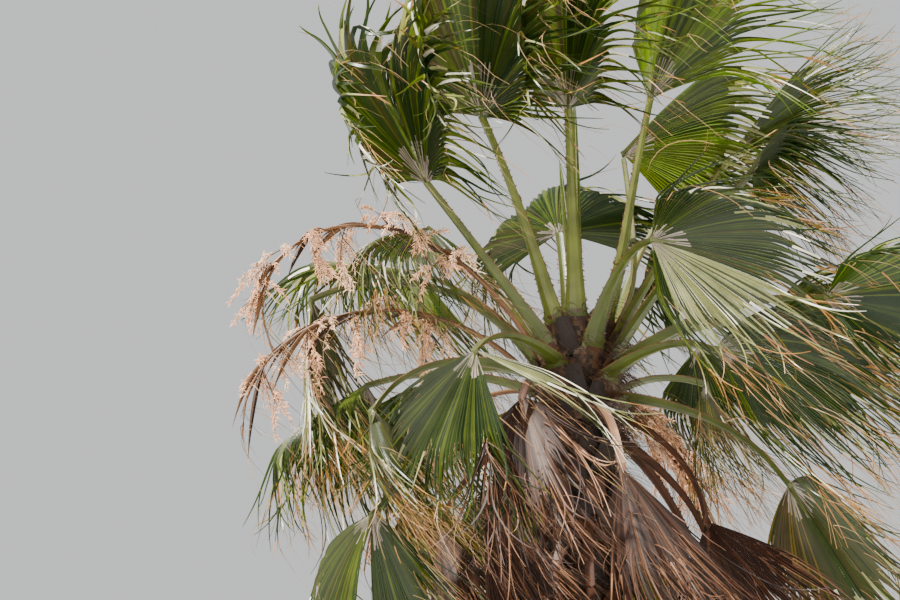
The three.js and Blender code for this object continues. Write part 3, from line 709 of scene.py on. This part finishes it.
def blade(f, axes, start, sheets, threads):
    """The fan: every leaflet is folded along its rib, joined to its neighbours inside and free outside."""
    n, dead = f["leaflets"], f["kind"] == "dead"
    share = np.linspace(-1, 1, n + 1)
    share[1:-1] += rng.uniform(-BORDER_JITTER, BORDER_JITTER, n - 1) / n
    borders = f["skew"] + f["spread"] * share
    lines, _, _ = rays(f, axes, start, borders)
    _, mid_ahead, length = rays(f, axes, start, (borders[:-1] + borders[1:]) / 2)
    # Soft waves run across the blade, and every leaflet parts from the next at its own place
    phases = rng.uniform(0, 2 * np.pi, len(WAVES))
    wave = sum(height * np.sin(share * rate + phase) for (height, rate), phase in zip(WAVES, phases))
    lines = lines + axes[2] * (wave[:, None] * np.linspace(0, 1, RAY_STEPS + 1) ** 1.5)[..., None]
    centred = (share[:-1] + share[1:]) / 2
    cut = PARTING * (1 - PARTING_FALL * centred**2) * f["parted"] + rng.uniform(-0.06, 0.05, n)
    shares = cut[:, None] * JOINED_ROWS[None]
    left, right = at_share(lines[:-1], shares), at_share(lines[1:], shares)
    centre = (left + right) / 2
    half = (right - left) / 2
    ahead = at_share(mid_ahead, shares)
    out = unit(np.cross(half, ahead))
    fold = FOLD_DEAD if dead else FOLD_LIVE
    heights = out * np.linalg.norm(half, axis=-1, keepdims=True) * fold
    ribs, sides, tops, last_ahead = free_part(
        f, centred, cut, length, centre[:, -1], ahead[:, -1], half[:, -1], fold
    )

    body, rib = leaflet_shades(f, centred, len(JOINED_ROWS) + FREE_ROWS - 2)
    whole = (centred <= f["gap"][0]) | (centred >= f["gap"][1])
    for i, way in enumerate((-1, 1)):
        spine = np.concatenate([centre, drawn_in(centre[:, -1], np.stack([r[i] for r in ribs], 1))], 1)
        across = np.concatenate([half * way, np.stack([r[i] for r in sides], 1)], 1)
        ridge = np.concatenate([heights, np.stack([r[i] for r in tops], 1)], 1)
        strip = spine[:, :, None] + across[:, :, None] * HALF + ridge[:, :, None] * (1 - HALF)
        shades = np.stack([rib, body[i]], -1)
        sheets.grid(strip[whole], shades[whole])

    # Threads peel off where leaflets part and from their tips, and longer strips from where they are joined
    roots = np.concatenate([left[:, -1], spine[:, -2]])
    heads = np.concatenate([last_ahead, last_ahead])
    thread_share, thread_tint, strip_tint = 0.7, "thread", "leaf_dry"
    if dead:
        thread_share, thread_tint, strip_tint = 0.9, "dead_tan", "dead_tan"
    keep = rng.random(len(roots)) < thread_share
    thread_bundle(roots[keep], heads[keep], threads, 0.1, 0.36, thread_tint)
    strips = rng.random(n) < f["strips"]
    roots, heads = left[strips, -2], ahead[strips, -2]
    thread_bundle(roots, heads, threads, 0.3, 0.62, strip_tint, width=0.0035, rows=11)


# Stalk: a channelled bar with a toothed margin on both edges

# Its section's corners, across and up, as shares of width and depth: channelled above, keeled below
STALK_SECTION = np.array(
    [[0.5, 0.26], [0.46, 0.36], [0.2, 0.16], [0, 0.1], [-0.2, 0.16], [-0.46, 0.36], [-0.5, 0.26],
     [-0.48, 0.12], [-0.3, -0.42], [0, -0.6], [0.3, -0.42], [0.48, 0.12]]
)
RIGHT_EDGE, LEFT_EDGE = 0, 6  # corners
EDGE_FACES = [0, 5, 6, 11]
STALK_ROWS = 25
RIB_ROWS = 5
RIB_SUNK = 0.008
END_WIDTH = 0.044
FOOT_DEPTH, DEPTH_LOST = 0.036, 0.013
TOOTH_SPACING = 0.024
TOOTH_SUNK = 0.002


def stalk(f, path, midrib, sheets):
    dead = f["kind"] == "dead"
    places = np.linspace(0, STALK_STEPS, STALK_ROWS)
    line = np.concatenate([along_line(path, places), midrib])
    share = np.concatenate([places / STALK_STEPS, np.ones(RIB_ROWS)])
    rib = np.concatenate([np.zeros(STALK_ROWS), np.linspace(0.1, 1, RIB_ROWS)])
    ahead = unit(np.gradient(line, axis=0))
    side = unit(np.cross(ahead, UP))
    top = np.cross(side, ahead)
    width = (f["base"] * (1 - share) ** 2.2 + END_WIDTH * share**0.4) * (1 - 0.8 * rib)
    depth = (FOOT_DEPTH - DEPTH_LOST * share) * (1 - 0.6 * rib)
    points = (
        line[:, None]
        + side[:, None] * (STALK_SECTION[:, 0] * width[:, None])[..., None]
        + top[:, None] * (STALK_SECTION[:, 1] * depth[:, None])[..., None]
    )
    green = "stalk_light" if f["tone"] in ("light", "sunlit") else "stalk_green"
    main = f["stem"] or ("dead_red" if dead else green)
    edge = "dead_brown" if dead else "stalk_edge"
    shades = np.full((len(line) - 1, len(STALK_SECTION)), ORDER.index(main))
    shades[:, EDGE_FACES] = ORDER.index(edge)
    shades[:2] = ORDER.index("dead_dark" if dead else "stalk_tan")
    if not dead:
        shades[STALK_ROWS - 1 :] = ORDER.index("leaf_rib")
    sheets.grid(points, shades, closed=True)
    teeth(points[:STALK_ROWS], side[:STALK_ROWS], ahead[:STALK_ROWS], sheets, edge, f["stalk"])


def teeth(points, side, ahead, sheets, colour, length):
    """Small hooked spines along both margins of the stalk."""
    count = int(length / TOOTH_SPACING)
    places = np.sort(rng.uniform(0.06, 0.93, count)) * (len(points) - 1)
    k = places.astype(int)
    part = (places - k)[:, None]
    for corner, sign in ((RIGHT_EDGE, 1), (LEFT_EDGE, -1)):
        root = points[k, corner] * (1 - part) + points[k + 1, corner] * part
        out = side[k] * sign
        on = ahead[k] * rng.choice([-1, 1], count)[:, None]
        tall = rng.uniform(0.006, 0.013, count)[:, None]
        a = root - on * tall * 0.55 - out * TOOTH_SUNK
        b = root + on * tall * 0.55 - out * TOOTH_SUNK
        tip = root + out * tall + on * tall * 0.6
        lift = np.cross(ahead[k], out) * TOOTH_SUNK
        sheets.grid(np.stack([np.stack([a, b], 1), np.stack([tip - lift, tip + lift], 1)], 1), colour)


def sheath(f, path, stalks, threads):
    """The broad brown foot of a stalk, wrapped part of the way round the trunk and frayed at both margins."""
    rows, columns, brown_rows, frayed_rows = 12, 13, 5, 9
    line = along_line(path, np.linspace(0, 0.9, rows))
    share = np.linspace(0, 1, rows)[:, None]
    around = np.linspace(-1, 1, columns)[None]
    out = heading(f["turn"], 0)
    side = np.array([-out[1], out[0], 0.0])
    ragged = 1 + 0.12 * rng.normal(0, 1, (rows, columns)) * np.abs(around) ** 3
    half = (0.098 * (1 - share) ** 1.2 + 0.021) * ragged
    back = TRUNK_RADIUS * (1 - np.cos(half * around / TRUNK_RADIUS)) * (1 - share) ** 0.5
    inward = back - 0.014 * (1 - share**2)
    low = line - UP * 0.10 * (1 - share) ** 2
    points = low[:, None] + side * (half * around)[..., None] - out * inward[..., None]
    shades = dealt(("stalk_tan", "dead_brown", "dead_red", "dead_dark"), (rows - 1, columns - 1))
    shades[brown_rows:] = ORDER.index("dead_brown" if f["kind"] == "dead" else "stalk_green")
    stalks.grid(points, shades)
    frayed = np.concatenate([points[:frayed_rows, 0], points[:frayed_rows, -1]] * 3)
    heads = np.tile(out * 0.3 - UP * 0.2, (len(frayed), 1))
    thread_bundle(frayed, heads, threads, 0.06, 0.2, "fibre", width=0.0018)


def frond(own, sheets, stalks, threads):
    f = {**USUAL_FROND, **own}
    path = stalk_path(f, f["stalk"], STALK_STEPS)
    axes = blade_frame(f)
    middle, _, _ = rays(f, axes, path[-1], np.array([0.0]))
    midrib = at_share(middle, np.linspace(0.02, RIB_SHARE, RIB_ROWS)[None])[0] - axes[2] * RIB_SUNK
    stalk(f, path, midrib, stalks)
    sheath(f, path, stalks, threads)
    blade(f, axes, path[-1], sheets, threads)


# Flowers: an arching stalk with papery bracts, and feathery clusters on side branches

ARCH_ROWS = 60
ARCH_TIP, ARCH_TAPER = 0.0045, 0.012  # its radius at the tip, and how much more it is at the foot
BRANCH_RADII = (0.0045, 0.002)
PLUME_RADII = (0.0028, 0.0012)
BRANCHES = 12
FIRST_BRANCH, LAST_BRANCH = 18, 48  # rows of the arch
PLUMES = 7
LINE_ROWS = 9
TWIG_SPACING = 0.0031
TWIG_RADIUS = 0.0028
TWIG_DROOP = 0.25
TWIG_SHAPE = np.array([0.5, 1.0, 0.2])  # of its radius, from its root to its tip


def twigs(roots, aims, lengths, sheets, colour):
    """Fine flower twigs, each a bumpy three-sided spindle."""
    n, rows, sides = len(roots), len(TWIG_SHAPE), 3
    side = unit(np.cross(aims, rng.normal(0, 1, (n, 3))))
    other = np.cross(aims, side)
    across, up = circle_of(sides)
    ring = side[:, None] * across[None, :, None] + other[:, None] * up[None, :, None]
    share = np.linspace(0, 1, rows)
    droop = HANG * TWIG_DROOP * (share**2)[None, :, None] * lengths[:, None, None]
    line = roots[:, None] + aims[:, None] * (share[None, :, None] * lengths[:, None, None]) + droop
    thick = TWIG_RADIUS * TWIG_SHAPE[None, :, None] * rng.uniform(0.5, 1.6, (n, rows, sides))
    sheets.grid(line[:, :, None] + ring[:, None] * thick[..., None], colour, closed=True)


def hanging_line(root, aim, length, droop):
    """A line that leaves root along aim and droops towards HANG."""
    share = np.linspace(0, 1, LINE_ROWS)
    return root + np.outer(share, aim) * length + np.outer(share**2, HANG) * length * droop


def bract(root, aim, length, sheets):
    """A papery pointed sheath, open along one side."""
    side = unit(np.cross(aim, rng.normal(0, 1, 3)))
    other = np.cross(aim, side)
    share = np.linspace(0, 1, LINE_ROWS)
    half_width, tip, half_wrap = 0.013, 0.0008, 1.9
    wide = half_width * np.sin(np.pi * np.clip(share * 0.9 + 0.12, 0, 1)) + tip
    a = np.linspace(-half_wrap, half_wrap, 6)
    line = hanging_line(root, aim, length, 0.5)
    curve = side[None, None] * np.sin(a)[None, :, None] + other[None, None] * (1 - np.cos(a))[None, :, None]
    sheets.grid(line[:, None] + curve * wide[:, None, None], rng.choice(["bract", "bract", "bract_dark"]))


def plume(root, aim, length, bars, flowers, colour):
    """One feathery flower branch: a thin drooping axis with short twigs all round."""
    axis = hanging_line(root, aim, length, 0.6)
    tube(bars, axis, np.linspace(*PLUME_RADII, LINE_ROWS), "bract", sides=3)
    n = int(length / TWIG_SPACING)
    roots = along_line(axis, np.linspace(1.2, 7.9, n))
    ahead = unit(axis[-1] - axis[0])
    aims = unit(ahead * 0.75 + rng.normal(0, 0.62, (n, 3)))
    twigs(roots, aims, rng.uniform(0.012, 0.04, n), flowers, colour)


def flower_stalk(f, bars, flowers, dry):
    path = stalk_path(f, f["length"], ARCH_STEPS)
    places = np.linspace(0, ARCH_STEPS, ARCH_ROWS)
    line = along_line(path, places)
    tube(bars, line, ARCH_TAPER * (1 - places / ARCH_STEPS) + ARCH_TIP, "bract", sides=7)
    ahead = unit(np.gradient(line, axis=0))
    for i in range(BRANCHES):
        k = int(FIRST_BRANCH + (LAST_BRANCH - FIRST_BRANCH) * i / (BRANCHES - 1))
        side = unit(np.cross(ahead[k], rng.normal(0, 1, 3)))
        aim = unit(ahead[k] * 0.8 + side * 0.9 + HANG * 0.3)
        bract(line[k], unit(ahead[k] + side * 0.2), rng.uniform(0.2, 0.42), bars)
        branch = hanging_line(line[k], aim, rng.uniform(0.12, 0.24), 0.4)
        tube(bars, branch, np.linspace(*BRANCH_RADII, LINE_ROWS), "bract", sides=4)
        tint = "flower" if i % 3 else "flower_light"
        for root in along_line(branch, np.linspace(1.5, 8, PLUMES)):
            own = unit(aim * 0.6 + rng.normal(0, 0.55, 3) + HANG * 0.3)
            plume(root, own, rng.uniform(0.07, 0.16), bars, flowers, tint)
    # Bare twigs of the year before trail from the middle of the arch and from its tip
    roots = np.concatenate([line[rng.integers(14, 40, 60)], line[rng.integers(50, ARCH_ROWS, 14)]])
    for tint, part in (("thread", roots[::3]), ("bract", roots[1::3]), ("bract_dark", roots[2::3])):
        heads = unit(HANG + rng.normal(0, 0.6, (len(part), 3)))
        thread_bundle(part, heads, dry, 0.2, 0.6, tint, width=0.0024, rows=11)


# Trunk: ringed, fissured bark with a flared foot, and old leaf bases under the crown

BARK_COLUMNS, BARK_ROWS = 120, 500
BARK_OVER = 0.02  # the bark ends this far over the heart
# How far cracks, their fine grain, rings and lumps stand out, and how far all of it is sunk
CRACK_RELIEF, FINE_RELIEF, RING_RELIEF, LUMP_RELIEF, SUNK = 0.010, 0.004, 0.006, 0.014, 0.02
ROOT_RELIEF, ROOT_HEIGHT = 0.05, 0.22
TAPER = 0.045
FLARE_HEIGHT = 0.42
RING_SPACING = 0.055
SMOOTH_FROM, SMOOTH_BY = 6.9, 0.15  # the relief fades out at the top
DARK_FROM = 5.9  # under the crown the bark is painted dark, as painted shade
DARK_CRACK = 0.16  # the bottom of a crack is painted dark too, as painted shade
DOME_RADIUS = TRUNK_RADIUS - 0.02
DOME = ((0.05, 0.78), (0.09, 0.5), (0.11, 0.2), (0.112, 0.0))  # heights over the bark, shares of the radius
NOISE_ROWS = 2048
BASES = 120
BASES_FROM, BASES_SPAN = 4.35, 2.55
BASE_TURN = 137.5
BASE_HALF_WIDTH, BASE_THICKNESS = 0.075, 0.011
# A stump's section, across and out, as shares of these
BASE_SECTION = np.array([[-1, 0.0], [-0.5, 0.9], [0, 1.2], [0.5, 0.9], [1, 0.0], [0.5, -0.5], [-0.5, -0.5]])
# Lean, height and radius of each spear leaf, and its outline as places and shares of the radius
SPEARS = (((0.05, -0.03), 1.40, 0.034), ((-0.1, 0.05), 1.05, 0.026), ((0.12, 0.10), 0.8, 0.022))
SPEAR_OUTLINE = ([0, 0.25, 0.6, 0.9, 1], [0.8, 1, 0.8, 0.4, 0.08])
SPEAR_SEAT = 0.1103
PLEATS, PLEAT_SHARE = 22, 0.8


def value_noise(x, y, wrap, seed):
    """Smooth noise in two directions that repeats every wrap in the first."""
    cells = np.random.default_rng(seed).random((wrap, NOISE_ROWS))
    i, j = np.floor(x).astype(int), np.floor(y).astype(int)
    u, v = x - i, y - j
    u = u * u * (3 - 2 * u)
    v = v * v * (3 - 2 * v)

    def corner(a, b):
        return cells[(i + a) % wrap, (j + b) % NOISE_ROWS]

    low = corner(0, 0) * (1 - u) + corner(1, 0) * u
    high = corner(0, 1) * (1 - u) + corner(1, 1) * u
    return low * (1 - v) + high * v


def trunk_radius(z):
    flare = (FOOT_RADIUS - TRUNK_RADIUS - TAPER) * np.exp(-z / FLARE_HEIGHT)
    return TRUNK_RADIUS + TAPER * np.clip(1 - z / STRAIGHT_FROM, 0, None) + flare


def trunk_axis(z):
    share = np.clip(z / STRAIGHT_FROM, 0, 1)
    blend = share * share * (3 - 2 * share)
    return np.stack([HEART[0] * blend, HEART[1] * blend, z], -1)


def trunk(sheets):
    shape = (BARK_ROWS, BARK_COLUMNS)
    z = np.broadcast_to(np.linspace(0, HEART[2] + BARK_OVER, BARK_ROWS)[:, None], shape)
    angle = np.broadcast_to(np.arange(BARK_COLUMNS) / BARK_COLUMNS * 2 * np.pi, shape)
    turn = angle / (2 * np.pi)

    def noise(cells, rate, seed, start=0):
        return value_noise(turn * cells, z * rate + start, cells, seed)

    crack = np.abs(noise(44, 2.6, 1, start=3) - 0.5) * 2
    fine = np.abs(noise(90, 9, 2) - 0.5) * 2
    bent = 0.35 * noise(5, 3, 3)
    rings = np.abs(((z / RING_SPACING + bent) % 1) - 0.5) * 2
    lump = noise(7, 1.4, 4) - 0.5
    roots = np.exp(-z / ROOT_HEIGHT) * (noise(26, 0.6, 5) - 0.6) * ROOT_RELIEF
    relief = CRACK_RELIEF * np.minimum(crack * 2.4, 1) + FINE_RELIEF * fine + RING_RELIEF * rings**3
    relief = relief + LUMP_RELIEF * lump + roots - SUNK
    relief = relief * np.clip(1 - (z - SMOOTH_FROM) / SMOOTH_BY, 0, 1)
    circle = np.stack([np.cos(angle), np.sin(angle), np.zeros_like(angle)], -1)
    points = trunk_axis(z) + circle * (trunk_radius(z) + relief)[..., None]
    # Painted shade: dark bark in the bottoms of cracks and under the crown
    dark = (crack < DARK_CRACK) | (z + 0.5 * lump > DARK_FROM)
    shades = np.where(dark, ORDER.index("bark_dark"), ORDER.index("bark"))
    sheets.grid(points, shades[:-1], closed=True)
    sheets.grid(np.stack([trunk_axis(z[0]), points[0]], 0), "bark_dark", closed=True)
    dome = [points[-1]]
    for height, share in DOME:
        dome.append(HEART + UP * (height + BARK_OVER) + circle[0] * DOME_RADIUS * share)
    sheets.grid(np.stack(dome, 0), "bark_dark", closed=True)


def leaf_bases(sheets, threads):
    """Old stalk stumps in a spiral, and the fibre that hangs between them."""
    strands = 16
    share = np.linspace(0, 1, 6)
    wide = BASE_HALF_WIDTH * (1 - 0.55 * share)[:, None]
    thick = BASE_THICKNESS * (1 - 0.3 * share)[:, None]
    for i in range(BASES):
        z = BASES_FROM + BASES_SPAN * i / BASES
        out = heading(i * BASE_TURN, 0)
        side = np.array([-out[1], out[0], 0.0])
        root = trunk_axis(np.array(z)) + out * (trunk_radius(z) - 0.012)
        reach = rng.uniform(0.09, 0.20)
        lean = rng.uniform(0.25, 0.5)
        line = root + np.outer(share, UP + out * lean) * reach
        points = (
            line[:, None]
            + side * (BASE_SECTION[:, 0] * wide)[..., None]
            + out * (BASE_SECTION[:, 1] * thick)[..., None]
        )
        end = np.stack([points[-1], np.broadcast_to(line[-1], points[-1].shape)], 0)
        sheets.grid(points, rng.choice(["dead_dark", "dead_dark", "dead_brown", "dead_red"]), closed=True)
        sheets.grid(end, "dead_tan", closed=True)
        roots = root + side * rng.uniform(-0.07, 0.07, (strands, 1)) + out * 0.01
        heads = np.tile(out + UP * 0.3, (strands, 1))
        thread_bundle(roots, heads, threads, 0.08, 0.26, "fibre", width=0.002)


def spear_leaves(sheets):
    """The newest leaves, still folded tight like a closed fan."""
    seat = HEART + UP * SPEAR_SEAT
    across, up = circle_of(PLEATS)
    inward = np.where(np.arange(PLEATS) % 2, PLEAT_SHARE, 1)[:, None]
    ring = np.stack([across, up, np.zeros(PLEATS)], -1) * inward
    share = np.linspace(0, 1, 16)
    for lean, height, radius in SPEARS:
        line = seat + np.outer(share * height, [lean[0] * share.mean(), lean[1], 1])
        radius_at = radius * np.interp(share, *SPEAR_OUTLINE)
        sheets.grid(line[:, None] + ring * radius_at[:, None, None], "leaf_light", closed=True)


# Putting the tree together


def grow(name, slot, fronds, stalk_name):
    """Three pieces of a group of fronds, given by node: the blades, the stalks and the threads."""
    sheets, stalks, threads = Sheets(), Sheets(), Sheets()
    for own in fronds.values():
        frond(own, sheets, stalks, threads)
    sheets.mesh(name, slot, fronds)
    stalks.mesh(stalk_name, slot, fronds, smooth=False)
    threads.mesh(f"{name}_threads", slot, fronds)


def of_kind(fronds, kind):
    return {node: own for node, own in fronds.items() if own.get("kind", USUAL_FROND["kind"]) == kind}


back_fronds = {f"frond_back_{i}": back_frond(i) for i in range(BACK_FRONDS)}
upper, lower = (
    {f"dead_frond_{n}_{i}": dead_frond(n, i) for i in range(tier["count"])}
    for n, tier in enumerate(SKIRT_TIERS)
)
grow("leaves_green_front", "green_frond", of_kind(SHOWN_FRONDS, "green"), "stalks_front")
grow("leaves_green_back", "green_frond", of_kind(back_fronds, "green"), "stalks_back")
grow("leaves_yellow", "yellow_frond", of_kind({**SHOWN_FRONDS, **back_fronds}, "yellow"), "stalks_yellow")
grow("leaves_dead_upper", "dead_frond", upper, "stalks_dead_upper")
grow("leaves_dead_lower", "dead_frond", lower, "stalks_dead_lower")

bars, flowers, dry = Sheets(), Sheets(), Sheets()
for own in FLOWER_STALKS.values():
    flower_stalk(own, bars, flowers, dry)
bars.mesh("flower_stems", "flower_stalk", FLOWER_STALKS)
flowers.mesh("flowers", "flower_stalk", FLOWER_STALKS)
dry.mesh("flower_twigs", "flower_stalk", FLOWER_STALKS)

bark, stumps, fibre, spears = Sheets(), Sheets(), Sheets(), Sheets()
trunk(bark)
bark.mesh("trunk_bark", "trunk_bark", ["trunk"])
leaf_bases(stumps, fibre)
stumps.mesh("leaf_bases", "trunk_bark", ["trunk"], smooth=False)
fibre.mesh("trunk_fibre", "trunk_bark", ["trunk"])
spear_leaves(spears)
spears.mesh("spears", "green_frond", ["spear_leaves"], smooth=False)

# Camera, as the photograph was taken: from eye height, looking up at the crown

FOCAL, SENSOR = 80.0, 36.0
PICTURE_WIDTH, PICTURE_HEIGHT = 900, 600
LENS_PX = FOCAL / SENSOR * PICTURE_WIDTH
PITCH = np.radians(33)
HEART_PX = (577, 335)
DISTANCE = 10.3
look = np.array([0, np.cos(PITCH), np.sin(PITCH)])
above = np.array([0, -np.sin(PITCH), np.cos(PITCH)])
right = np.array([1.0, 0, 0])
to_right = (HEART_PX[0] - PICTURE_WIDTH / 2) / LENS_PX
to_top = (PICTURE_HEIGHT / 2 - HEART_PX[1]) / LENS_PX
lens = bpy.data.cameras.new("camera")
lens.lens = FOCAL
lens.sensor_width = SENSOR
lens.clip_end = 1500
camera = bpy.data.objects.new("camera", lens)
camera.location = HEART - (look + right * to_right + above * to_top) * DISTANCE
camera.rotation_euler = (np.pi / 2 + PITCH, 0, 0)
bpy.context.scene.collection.objects.link(camera)
bpy.context.scene.camera = camera

# Floor and plain soft light

FLOOR_SIZE = 900
FLOOR_COLOUR, FLOOR_ROUGHNESS = (0.78, 0.78, 0.77, 1), 0.9
SKY_COLOUR, SKY_STRENGTH = (0.94, 0.95, 0.96, 1), 0.8
LAMP_COLOUR = (1, 0.96, 0.88)
# The strength of each lamp, and in degrees its width and direction
LAMPS = {"key": (19.5, 2, (23, -20, 0)), "fill": (0.4, 40, (70, 0, 40))}

bpy.ops.mesh.primitive_plane_add(size=FLOOR_SIZE, location=(0, 0, 0))
floor = bpy.context.object
floor.name = "floor"
paper = bpy.data.materials.new("floor")
paper.use_nodes = True
paper.node_tree.nodes["Principled BSDF"].inputs["Base Color"].default_value = FLOOR_COLOUR
paper.node_tree.nodes["Principled BSDF"].inputs["Roughness"].default_value = FLOOR_ROUGHNESS
floor.data.materials.append(paper)

world = bpy.data.worlds.new("studio")
world.use_nodes = True
world.node_tree.nodes["Background"].inputs["Color"].default_value = SKY_COLOUR
world.node_tree.nodes["Background"].inputs["Strength"].default_value = SKY_STRENGTH
bpy.context.scene.world = world
for name, (energy, angle, direction) in LAMPS.items():
    lamp = bpy.data.lights.new(name, "SUN")
    lamp.energy = energy
    lamp.angle = np.radians(angle)
    lamp.color = LAMP_COLOUR
    sun = bpy.data.objects.new(name, lamp)
    sun.rotation_euler = np.radians(direction)
    bpy.context.scene.collection.objects.link(sun)
